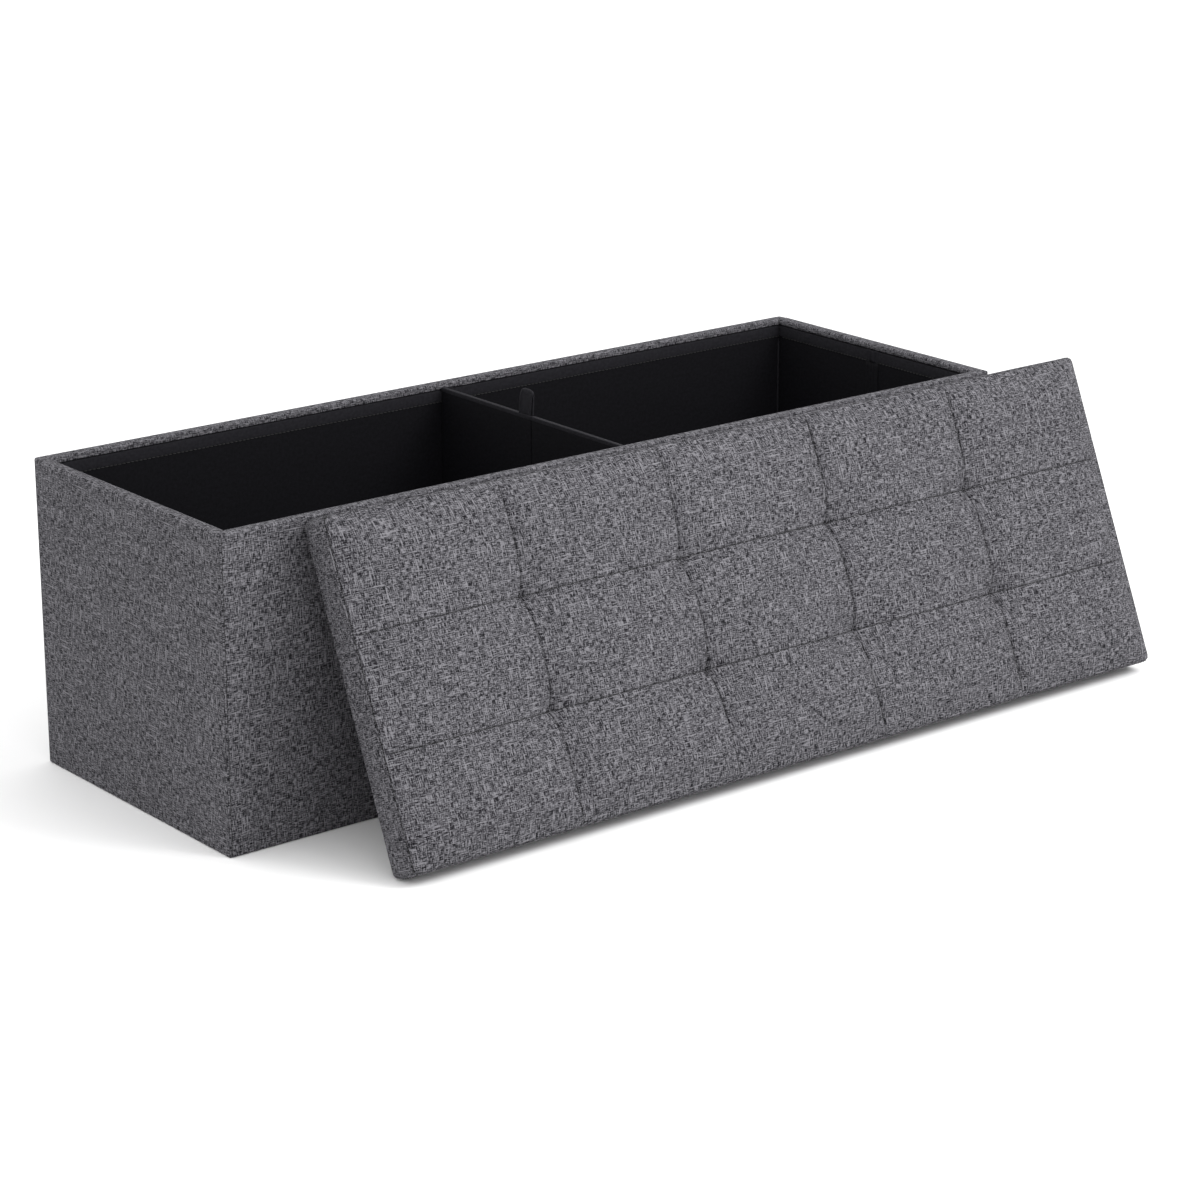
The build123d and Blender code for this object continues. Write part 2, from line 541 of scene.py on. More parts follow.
@dataclass(frozen=True)
class Linen:
    """Mottled linen-look cloth: dark and light threads both ways, with long slubs.

    Attributes:
        dark: colour of the darkest threads.
        middle: colour of most threads.
        light: colour of the palest threads.
        places: tones at which the three colours stand.
        threads: threads in a metre.
        thread_ratio: how many times longer than wide a thread's streak is.
        slub_across: features of a slub's width, as a share of threads.
        slub_along: features of its length, as a share of threads.
        slub_floor: noise under which no slub shows.
        slub_gain: how much a slub lightens the cloth.
        speck: share of round specks between the threads.
        cloud: share of the wide, soft mottling.
        cloud_scale: its features in a metre.
    """

    dark: Colour = (0.0050, 0.0048, 0.0064)
    middle: Colour = (0.0368, 0.0357, 0.0411)
    light: Colour = (0.172, 0.168, 0.182)
    places: tuple[float, float, float] = (0.445, 0.508, 0.585)
    threads: float = 1350.0
    thread_ratio: float = 9.5
    slub_across: float = 0.45
    slub_along: float = 0.028
    slub_floor: float = 0.67
    slub_gain: float = 0.80
    speck: float = 0.25
    cloud: float = 0.03
    cloud_scale: float = 22.0

    def make(self) -> Material:
        """The material: two crossed stretched noises make the threads, more of them specks and slubs.

        Returns:
            The finished material.
        """
        recipe = Recipe("grey_linen")
        weave, total = recipe.weave(), recipe.math

        def crossed(wide: float, long: float, detail: float) -> list[Socket]:
            """One noise stretched up the cloth and one stretched along it."""
            return [recipe.noise(weave, scale, detail) for scale in ((wide, long, 1), (long, wide, 1))]

        warp, weft = crossed(self.threads, self.threads / self.thread_ratio, 1.0)
        specks = recipe.noise(weave, (self.threads * 0.9, self.threads * 0.9, 1), 1.0)
        slubs = total("MAXIMUM", *crossed(self.threads * self.slub_across, self.threads * self.slub_along, 0.0))
        cloud = recipe.noise(weave, (self.cloud_scale, self.cloud_scale, 1), 2.0)
        threads = total("ADD", total("ADD", warp, weft), total("MULTIPLY", specks, self.speck))
        streak = total("MAXIMUM", total("SUBTRACT", slubs, self.slub_floor), 0.0)
        mottle = total("ADD", total("DIVIDE", threads, 2 + self.speck), total("MULTIPLY", cloud, self.cloud))
        tone = total("ADD", mottle, total("MULTIPLY", streak, self.slub_gain))
        recipe.paint(tone, list(zip(self.places, (self.dark, self.middle, self.light))))
        recipe.bump(threads, 0.6 * MM, 0.7)
        recipe.constants(Roughness=0.95, Specular_IOR_Level=0.15)
        return recipe.material


@dataclass(frozen=True)
class Blackcloth:
    """Black lining or tape: a faintly uneven colour and a fine embossed or ribbed surface.

    Attributes:
        name: of the material.
        low: darker colour.
        high: paler colour.
        pitch: metres from one dimple or rib to the next.
        ribbed: ribs across the cloth in place of dimples.
        fleece_scale: features of the uneven colour in a metre.
    """

    name: str
    low: Colour
    high: Colour
    pitch: float = 2.2 * MM
    ribbed: bool = False
    fleece_scale: float = 260.0

    def make(self) -> Material:
        """The material: noise for the colour, cells or ribs for the surface.

        Returns:
            The finished material.
        """
        recipe = Recipe(self.name)
        weave = recipe.weave()
        fleece = recipe.noise(weave, (self.fleece_scale, self.fleece_scale, 1), 4.0)
        recipe.paint(fleece, [(0.35, self.low), (0.7, self.high)])
        if self.ribbed:
            wave = recipe.node("ShaderNodeTexWave", wave_type="BANDS", bands_direction="X")
            wave.inputs["Scale"].default_value = 0.05 / self.pitch
            recipe.link(recipe.stretched(weave, (10, 10, 1)), wave.inputs["Vector"])
            relief = wave.outputs["Fac"]
        else:
            cells = recipe.node("ShaderNodeTexVoronoi", feature="F1")
            cells.inputs["Scale"].default_value = 1 / self.pitch
            cells.inputs["Randomness"].default_value = 0.25
            recipe.link(weave, cells.inputs["Vector"])
            relief = recipe.math("ADD", cells.outputs["Distance"], recipe.math("MULTIPLY", fleece, 0.8))
        recipe.bump(relief, 0.3 * MM, 0.6)
        recipe.constants(Roughness=0.8, Specular_IOR_Level=0.12)
        return recipe.material


@dataclass(frozen=True)
class Plain:
    """A solid material without a weave: board, foam, wire or thread.

    Attributes:
        name: of the material.
        low: darker colour.
        high: paler colour.
        grain: noise features in a metre.
        rough: roughness.
        metal: metallic share.
        relief: depth of the grain in metres.
    """

    name: str
    low: Colour
    high: Colour
    grain: float
    rough: float = 0.8
    metal: float = 0.0
    relief: float = 0.2 * MM

    def make(self) -> Material:
        """The material: noise on object coordinates for colour and surface.

        Returns:
            The finished material.
        """
        recipe = Recipe(self.name)
        place = recipe.node("ShaderNodeTexCoord").outputs["Object"]
        grain = recipe.noise(place, (self.grain,) * 3, 5.0)
        recipe.paint(grain, [(0.3, self.low), (0.7, self.high)])
        recipe.bump(grain, self.relief)
        recipe.constants(Roughness=self.rough, Metallic=self.metal)
        return recipe.material


class Finish(NamedTuple):
    """A material and the slot of the record that it goes with."""

    material: Material
    slot: str


class Finishes:
    """Every finish, made once: those of new pieces with their slot, and the CAD's own materials."""

    def __init__(self) -> None:
        """Makes the materials."""
        self.linen = Finish(Linen().make(), "grey_linen")
        self.lining = Finish(Blackcloth(
            "black_nonwoven", (0.0022, 0.0021, 0.0031), (0.0046, 0.0044, 0.0062)).make(), "black_nonwoven")
        self.tape = Finish(Blackcloth(
            "black_tape", (0.0100, 0.0097, 0.0122), (0.0165, 0.0160, 0.0195), 1.2 * MM, True).make(),
            "black_tape")
        twine = Plain("thread", (0.012, 0.012, 0.014), (0.03, 0.03, 0.034), 3000, 0.6).make()
        # Real stitches, but their thread is made near-black, darker than the lining, so that each row also
        # paints the shade of the seam it lies in: painted seam shade.
        self.thread = Finish(Plain(
            "black_thread", (0.0006, 0.0006, 0.0008), (0.0016, 0.0016, 0.0020), 3000, 0.7).make(), "thread")
        self.by_ending = {
            "threads": twine,
            "board": Plain("fibreboard", (0.36, 0.24, 0.13), (0.52, 0.38, 0.23), 900).make(),
            "foam": Plain("foam", (0.70, 0.66, 0.50), (0.86, 0.83, 0.70), 1400, 0.95, 0.0, 0.6 * MM).make(),
            "staples": Plain("staple_wire", (0.45, 0.45, 0.47), (0.66, 0.66, 0.68), 1800, 0.35, 1.0).make(),
        }

    def dress_cad(self, nodes: dict[str, bpy.types.Object]) -> None:
        """Gives each carried-over CAD node the material that the end of its name calls for.

        Args:
            nodes: the CAD objects by name.
        """
        for name, node in nodes.items():
            node.data.materials.clear()
            node.data.materials.append(self.by_ending.get(name.split("_")[-1], self.lining.material))


def piece(name: str, patch: Patch, finish: Finish, body: str | None, *replaced: str) -> bpy.types.Object:
    """Puts a patch into the scene as a welded, smooth, outward facing object.

    Args:
        name: of the new object.
        patch: its surface.
        finish: its material and slot.
        body: the body it rides on, or None.
        replaced: the CAD nodes it stands for.

    Returns:
        The object, at the origin.
    """
    mesh = bpy.data.meshes.new(name)
    mesh.from_pydata(patch.points.tolist(), [], patch.faces.tolist())
    layer = mesh.attributes.new(CLOTH, "FLOAT_VECTOR", "POINT")
    flat = np.concatenate([patch.cloth, np.zeros((len(patch.cloth), 1))], axis=1)
    layer.data.foreach_set("vector", flat.astype(np.float32).ravel())
    work = bmesh.new()
    work.from_mesh(mesh)
    bmesh.ops.remove_doubles(work, verts=work.verts, dist=WELD)
    bmesh.ops.recalc_face_normals(work, faces=work.faces)
    work.to_mesh(mesh)
    work.free()
    mesh.polygons.foreach_set("use_smooth", [True] * len(mesh.polygons))
    mesh.materials.append(finish.material)
    thing = bpy.data.objects.new(name, mesh)
    bpy.context.scene.collection.objects.link(thing)
    if body:
        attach(thing, body)
    if replaced:
        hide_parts(*replaced)
    LOG.info("%s: %d faces", name, len(mesh.polygons))
    return thing


# ---------------------------------------------------------------- the box
class Facing(Enum):
    """Which way a panel's outer face looks, with the row directions of its length and its depth."""

    FRONT = ((1, 0), (0, 1))
    BACK = ((-1, 0), (0, -1))
    LEFT = ((0, -1), (1, 0))
    RIGHT = ((0, 1), (-1, 0))


@dataclass
class Panel:
    """One stiff panel of the box, in its own coordinates: along, inward from the outer face, up.

    Attributes:
        name: of the panel, the start of its node names and also its body.
        facing: which way it looks.
        rim_turn: how far the linen turns down inside.
        tape_height: of the binding below that.
        recess: how far the linen lies under the inner face below the rim.
        edge: radius of the linen's edges.
        gap: how far lining and tape stop short of the panel's ends.
    """

    name: str
    facing: Facing
    rim_turn: float = 7 * MM
    tape_height: float = 15 * MM
    recess: float = 1.5 * MM
    edge: float = 2.8 * MM
    gap: float = 0.5 * MM

    def __post_init__(self) -> None:
        """Reads the panel's size and place from its linen node."""
        low, high = node_box(f"{self.name}_linen")
        span = high - low
        lengthwise = self.facing in (Facing.FRONT, Facing.BACK)
        self.length, self.depth = span[:2] if lengthwise else span[1::-1]
        self.height = high[2]
        self.lip = self.height - self.rim_turn
        self.tape_foot = self.lip - self.tape_height
        start = {Facing.FRONT: (low[0], low[1]), Facing.BACK: (high[0], high[1]),
                 Facing.LEFT: (low[0], high[1]), Facing.RIGHT: (high[0], low[1])}
        self.start = np.array(start[self.facing])

    def to_row(self, points: Array) -> Array:
        """Points from the panel's own coordinates to the row frame.

        Args:
            points: (along, inward, up), (n, 3).

        Returns:
            The points' start plus along and inward times the panel's two directions.
        """
        along, inward = (np.array(axis, float) for axis in self.facing.value)
        flat = self.start + points[:, :1] * along + points[:, 1:2] * inward
        return np.concatenate([flat, points[:, 2:]], axis=1)

    def dress_inside(self, finishes: Finishes, seed: int) -> None:
        """The lining, the tape over its top edge and the row of stitches under the tape.

        Args:
            finishes: the materials.
            seed: of the lining's unevenness.
        """
        lining = self.lining(seed).mapped(self.to_row)
        piece(f"{self.name}_inner_cloth", lining, finishes.lining, self.name, f"{self.name}_lining")
        tape = self.tape().mapped(self.to_row)
        piece(f"{self.name}_tape", tape, finishes.tape, self.name, f"{self.name}_binding")
        run = np.linspace(4 * MM, self.length - 4 * MM, 200)
        inner, low = self.depth - 0.35 * MM, self.tape_foot - 0.7 * MM
        row = np.stack([run, np.full_like(run, inner), np.full_like(run, low)], axis=1)
        # The near-black thread also paints the shade along the tape's lower edge.
        thread = stitches(row, 5.5 * MM, 5.0 * MM, 0.75 * MM).mapped(self.to_row)
        piece(f"{self.name}_tape_thread", thread, finishes.thread, self.name)

    def lining(self, seed: int) -> Patch:
        """A thin sheet whose inner side waves by a fraction of a millimetre and is calm behind the tape.

        Args:
            seed: chooses the waves.

        Returns:
            The sheet in the panel's own coordinates.
        """
        thick, foot = 0.7 * MM, 0.2 * MM

        def place(points: Array) -> Array:
            """Lays the sheet a little into the panel and raises its waves."""
            x, y, z = points.T
            shown = (y > thick / 2) * fade(20 * MM, z, self.tape_foot - z)
            inner = self.depth - 1.2 * MM + y + shown * waves(x, z, 0.22 * MM, seed)
            return np.stack([x + self.gap, inner, z + foot], axis=1)

        return slab((self.length - 2 * self.gap, thick, self.lip - 2 * foot), 0.3 * MM, 0.012).mapped(place)

    def tape(self) -> Patch:
        """A strip whose inner side bulges between its two sewn edges.

        Returns:
            The strip in the panel's own coordinates, its bulge half a sine wave high.
        """
        wide, thick = self.tape_height - 1.8 * MM, 0.9 * MM

        def place(points: Array) -> Array:
            """Lays the strip against the lining's top and raises its bulge and a small ripple."""
            x, y, z = points.T
            bulge = 0.3 * MM * np.sin(math.pi * fade(wide, z))
            ripple = 0.1 * MM * np.sin(x * 2 * math.pi / (31 * MM) + 3 * z / wide)
            inner = self.depth - thick + y + (y > thick / 2) * (bulge + ripple)
            return np.stack([x + self.gap, inner, z + self.tape_foot], axis=1)

        return slab((self.length - 2 * self.gap, thick, wide), 0.4 * MM, 0.003).mapped(place)


@dataclass
class LongWall(Panel):
    """The front or back wall, its linen a round-edged block that stops under the end panels' linen.

    Attributes:
        covered: whether the end panels' linen covers the wall's first and last end.
        under: how far a covered end is drawn back.
    """

    covered: tuple[bool, bool] = (True, True)
    under: float = 1.2 * MM

    def dress(self, finishes: Finishes, seed: int) -> None:
        """The linen cover and what lies inside it.

        Args:
            finishes: the materials.
            seed: of the linen's unevenness.
        """
        first, last = (self.under if hidden else 0.0 for hidden in self.covered)
        size = (self.length - first - last, self.depth, self.height)

        def place(points: Array) -> Array:
            """Outer face softly uneven, inner face sunk below the rim's turn."""
            x, y, z = points.T
            calm = fade(CALM, x, self.length - x, z)
            outer = (y < self.depth / 2) * fade(CALM, self.height - z)
            sunk = (y > self.depth / 2) * fade(0.8 * MM, self.lip - z) * self.recess
            return np.stack([x + first, y - outer * calm * waves(x, z, 0.4 * MM, seed) - sunk, z], axis=1)

        cover = slab(size, self.edge, levels=(self.lip - 1 * MM,)).mapped(place, self.to_row, round_corners)
        piece(f"{self.name}_cover", cover, finishes.linen, self.name,
              f"{self.name}_linen", f"{self.name}_board")
        self.dress_inside(finishes, seed + 50)


@dataclass
class EndHalf(Panel):
    """Half of an end panel: its linen is a section carried along it, and on to the wall beside it.

    Attributes:
        wall: the body at the corner whose end this half's linen also covers, or None.
        wall_first: whether that wall is at the start of the half's length.
        reach: how far past the half the linen goes over the wall's end.
        lift: how far the linen stands over the wall's own.
        joint: how far it goes past an end without a wall.
    """

    wall: str | None = None
    wall_first: bool = True
    reach: float = 13.2 * MM
    lift: float = 0.35 * MM
    joint: float = 0.2 * MM

    def section(self) -> Array:
        """The cover's outline seen along the panel, closed: up the outer face, over the rim, down inside.

        Returns:
            (inward, up) points, corners as quarter rounds.
        """
        deep, tall, edge, foot, out = self.depth, self.height + self.lift, self.edge, 2 * MM, -self.lift
        sunk = deep - self.recess
        turn = np.linspace(0, math.pi / 2, 6)
        slow, fast = 1 - np.cos(turn), 1 - np.sin(turn)
        up = np.linspace(foot, tall - edge, 30)[1:-1]
        down = np.linspace(self.lip - 4 * MM, 0.5 * MM, 8)
        return np.concatenate([
            np.stack([out + foot * fast, foot * slow], axis=1),
            np.stack([np.full_like(up, out), up], axis=1),
            np.stack([out + edge * slow, tall - edge * fast], axis=1),
            np.stack([deep - edge * fast, tall - edge * slow], axis=1),
            [[deep + 0.2 * MM, self.lip + 1.6 * MM], [deep, self.lip + 0.4 * MM], [sunk, self.lip]],
            np.stack([np.full_like(down, sunk), down], axis=1),
        ])

    def dress(self, finishes: Finishes, seed: int) -> None:
        """The linen cover, carried over the wall's end where it reaches it, and what lies inside it.

        Args:
            finishes: the materials.
            seed: of the linen's unevenness.
        """
        outline = self.section()
        shape = fade(self.depth, self.depth - outline[:, 0])
        past = shape * (self.reach + self.joint) if self.wall else np.zeros(len(outline))
        share = np.concatenate([np.linspace(0, 0.14, 12), np.linspace(0.14, 1, 26)[1:]])
        if self.wall_first:
            start, end = -past, np.full(len(outline), self.length + self.joint)
        else:
            start, end, share = np.full(len(outline), -self.joint), self.length + past, 1 - share[::-1]
        along = start + share[:, None] * (end - start)
        inward, up = (np.broadcast_to(part, along.shape) for part in outline.T)
        middle = fade(CALM, up, self.height - up) * (inward < 0)
        calm = fade(CALM, along, self.length - along)
        points = np.stack([along, inward - middle * calm * waves(along, up, 0.3 * MM, seed), up], axis=-1)
        cloth = np.stack([along, np.broadcast_to(run_length(outline), along.shape)], axis=-1)
        parts = [Patch.grid(points, cloth, closed=True)]
        parts += [self.cap(points[end], cloth[end]) for end in (0, -1)]
        cover = Patch.join(parts).mapped(self.to_row, round_corners)
        made = piece(f"{self.name}_cover", cover, finishes.linen, None if self.wall else self.name)
        if self.wall:
            at, way = (0.0, 1) if self.wall_first else (self.length, -1)
            hinge = np.array([[at - way * 1.5 * MM, 0, 0], [at + way * 6 * MM, 0, 0]])
            before, after = self.to_row(hinge)
            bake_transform(made)
        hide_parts(f"{self.name}_linen", f"{self.name}_board")
        self.dress_inside(finishes, seed + 50)

    @staticmethod
    def cap(ring: Array, cloth: Array) -> Patch:
        """Closes a section: a strip from each outline point to its partner on the way back.

        Args:
            ring: the outline's points, once round.
            cloth: their weave coordinates.

        Returns:
            The strip.
        """
        count = len(ring) // 2
        points, weave = (np.stack([layer[:count], layer[::-1][:count]], axis=1) for layer in (ring, cloth))
        return Patch.grid(points, weave)


@dataclass
class Box:
    """The walls, ends, corner seams, divider, floor boards and bottom sheet.

    Attributes:
        finishes: the materials.
    """

    finishes: Finishes

    def build(self) -> None:
        """Makes every piece of the box."""
        panels = (
            LongWall("front_wall", Facing.FRONT),
            LongWall("back_wall", Facing.BACK, covered=(False, True)),
            EndHalf("left_end_front", Facing.LEFT, wall="front_wall", wall_first=False),
            EndHalf("left_end_back", Facing.LEFT, wall="back_wall"),
            EndHalf("right_end_front", Facing.RIGHT, wall="front_wall"),
            EndHalf("right_end_back", Facing.RIGHT),
        )
        for seed, panel in enumerate(panels, 1):
            panel.dress(self.finishes, seed)
        self.corner_seams()
        self.fold_tapes()
        self.divider()
        self.pull()
        self.floor_boards()
        self.bottom()

    def corner_seams(self) -> None:
        """A row of stitches up each outer corner, on a thin welt in front, and a cord in each inner corner."""
        half_x, half_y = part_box("back_wall_linen")[1][:2]
        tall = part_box("front_wall_linen")[1][2]
        z = np.linspace(1.5 * MM, tall - 3 * MM, 60)
        low = np.linspace(8 * MM, tall - 24 * MM, 40)
        wobble = 0.25 * MM * np.sin(z * 2 * math.pi / (43 * MM))
        cord_x, cord_y = half_x - 14.6 * MM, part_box("back_wall_lining")[0][1] - 0.6 * MM

        def upright(x: float | Array, y: float, up: Array) -> Array:
            """A path up a corner."""
            return np.stack([x + 0 * up, np.full_like(up, y), up], axis=1)

        for wall, way in (("front_wall", -1), ("back_wall", 1)):
            for side, turn in (("left", -1), ("right", 1)):
                start = f"{wall}_{side}"
                if wall == "front_wall":
                    path = upright(turn * (half_x - 1.0 * MM + wobble), way * (half_y - 1.0 * MM), z)
                    piece(f"{start}_welt", upright_bar(path).mapped(round_corners), self.finishes.linen, wall)
                row = upright(turn * (half_x - 2.2 * MM + wobble), way * (half_y + 0.05 * MM), z)
                # Near-black thread: real stitches that also paint the corner seam's shade.
                thread = stitches(row, 5.5 * MM, 4.4 * MM, 0.45 * MM).mapped(round_corners)
                piece(f"{start}_corner_thread", thread, self.finishes.thread, wall)
                cord = upright_bar(upright(turn * cord_x, way * cord_y, low))
                piece(f"{start}_inner_cord", cord, self.finishes.tape, wall)

    def fold_tapes(self) -> None:
        """A black cloth hinge up the inside of each end's fold, with a pleat at the tape."""
        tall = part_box("left_end_front_linen")[1][2]
        strips = (("fold_tape", 4 * MM, tall - 23 * MM, 0.5 * MM, self.finishes.lining),
                  ("fold_pleat", tall - 22.4 * MM, tall - 8 * MM, 2.6 * MM, self.finishes.tape))
        across = np.linspace(-11 * MM, 11 * MM, 23)
        for side, way in (("left", 1), ("right", -1)):
            low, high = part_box(f"{side}_end_front_lining")
            face = high[0] if side == "left" else low[0]
            for name, foot, head, rise, finish in strips:
                up = np.linspace(foot, head, max(12, int((head - foot) / (6 * MM))))
                y, z = np.meshgrid(across, up, indexing="ij")
                pinch = 1 + 0.35 * np.sin((z - foot) / (head - foot) * math.pi)
                ridges = bell(y - 2.4 * MM, 1.5 * MM) + bell(y + 2.4 * MM, 1.5 * MM)
                out = 0.3 * MM + rise * ridges * pinch
                skins = [np.stack([face + way * (out - depth), y, z], axis=-1) for depth in (0, 0.6 * MM)]
                made = piece(f"{side}_{name}", sheet(skins, np.stack([y, z], axis=-1)), finish, None)
                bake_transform(made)

    def divider(self) -> None:
        """Both halves of the divider: the sleeve, the ridge on it and the flange that holds it to a wall."""
        for half, way in (("front", 1), ("back", -1)):
            body = f"divider_{half}"
            low, high = node_box(f"{body}_sleeve")
            thick, length, tall = high - low

            def sleeve(points: Array) -> Array:
                """Length along Y; faces hollow a little between the board's edges."""
                x, y, z = points.T
                inside = fade(20 * MM, x, length - x, tall - z)
                side = np.where(y > thick / 2, -1.0, 1.0)
                dent = inside * (0.25 * MM + waves(x, z, 0.15 * MM, 31))
                return np.stack([low[0] + thick - y - side * dent, low[1] + x, low[2] + z], axis=1)

            def ridge(points: Array) -> Array:
                """Along the sleeve's top, standing out a little on both sides."""
                x, y, z = points.T
                return np.stack([high[0] + 0.15 * MM - y, low[1] + x, high[2] - 4.7 * MM + z], axis=1)

            def flange(points: Array) -> Array:
                """Flat on the wall beside the divider."""
                x, y, z = points.T
                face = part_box(f"{half}_wall_lining")[1 if half == "front" else 0][1]
                y = face + way * (y - 0.6 * MM)
                return np.stack([high[0] + 0.5 * MM + x, y, low[2] + z + 1 * MM], axis=1)

            cloth = slab((length, thick, tall), 1.9 * MM).mapped(sleeve)
            piece(f"{body}_cloth", cloth, self.finishes.lining, body, f"{body}_sleeve")
            trim = slab((length, thick + 0.3 * MM, 5 * MM), 0.9 * MM, 0.006).mapped(ridge)
            piece(f"{body}_ridge", trim, self.finishes.tape, body)
            strip = slab((13 * MM, 0.9 * MM, tall - 2 * MM), 0.4 * MM, 0.006).mapped(flange)
            piece(f"{body}_flange", strip, self.finishes.tape, f"{half}_wall")

    def pull(self) -> None:
        """The ribbon: a flat loop that stands on the divider, its crest round and leaning a little."""
        low, high = node_box("divider_pull_loop")
        width, tall = high[1] - low[1], high[2] - low[2]
        run = np.linspace(-1, 1, 49)
        height = tall * (1 - np.abs(run) ** 3.2) - 2 * MM * (np.abs(run) ** 8)
        across = 1.6 * MM * np.sin(run * math.pi / 2) * (1.25 + 0.5 * np.cos(run * math.pi))
        lean = 2.2 * MM * (height / tall) ** 2
        centre = np.stack([(low[0] + high[0]) / 2 + across + lean, low[2] + height], axis=1)
        ahead = unit(np.gradient(centre, axis=0))
        normal = np.stack([ahead[:, 1], -ahead[:, 0]], axis=1)
        sides = np.array([0, 0.05, 0.1, 0.13, 0.3, 0.5, 0.7, 0.87, 0.9, 0.95, 1])
        thick = 0.3 * MM + 0.45 * MM * (np.abs(sides - 0.5) > 0.38)
        droop = 4 * MM * (np.abs(2 * sides - 1) ** 4 * (height / tall)[:, None] ** 3)
        skins = []
        for way in (1, -1):
            y = low[1] + width * sides + 0.8 * MM * np.sin(run * 5)[:, None]
            x = centre[:, :1] + way * normal[:, :1] * thick
            z = centre[:, 1:] + way * normal[:, 1:] * thick - droop
            skins.append(np.stack([x, y, z], axis=-1))
        cloth = np.stack(np.broadcast_arrays(sides * width, run[:, None] * tall), axis=-1)
        piece("divider_pull_ribbon", sheet(skins, cloth), self.finishes.tape, "divider_back",
              "divider_pull_loop")

    def floor_boards(self) -> None:
        """The two floor boards in their covers, the top of each cover a little loose."""
        for side, seed in (("left", 41), ("right", 42)):
            low, high = node_box(f"{side}_floor_cover")

            def place(points: Array) -> Array:
                """Waves on the upper side only."""
                x, y, z = points.T
                return np.stack([x, y, z + (z > 3 * MM) * waves(x, y, 0.2 * MM, seed)], axis=1) + low

            cover = slab(high - low, 2 * MM).mapped(place)
            piece(f"{side}_floor_cloth", cover, self.finishes.lining, f"{side}_floor",
                  f"{side}_floor_cover", f"{side}_floor_board")

    def bottom(self) -> None:
        """The sewn sheet under the floor boards, tucked in behind the lining."""
        tuck = np.array([1.2 * MM, 1.2 * MM, 0])
        low, high = node_box("bottom_sheet")
        low, high = low - tuck, high + tuck
        size = high - low
        cloth = slab(size, 0.4 * MM).mapped(lambda points: points + low)
        made = piece("bottom_cloth", cloth, self.finishes.lining, "front_wall", "bottom_sheet")
        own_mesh(made)


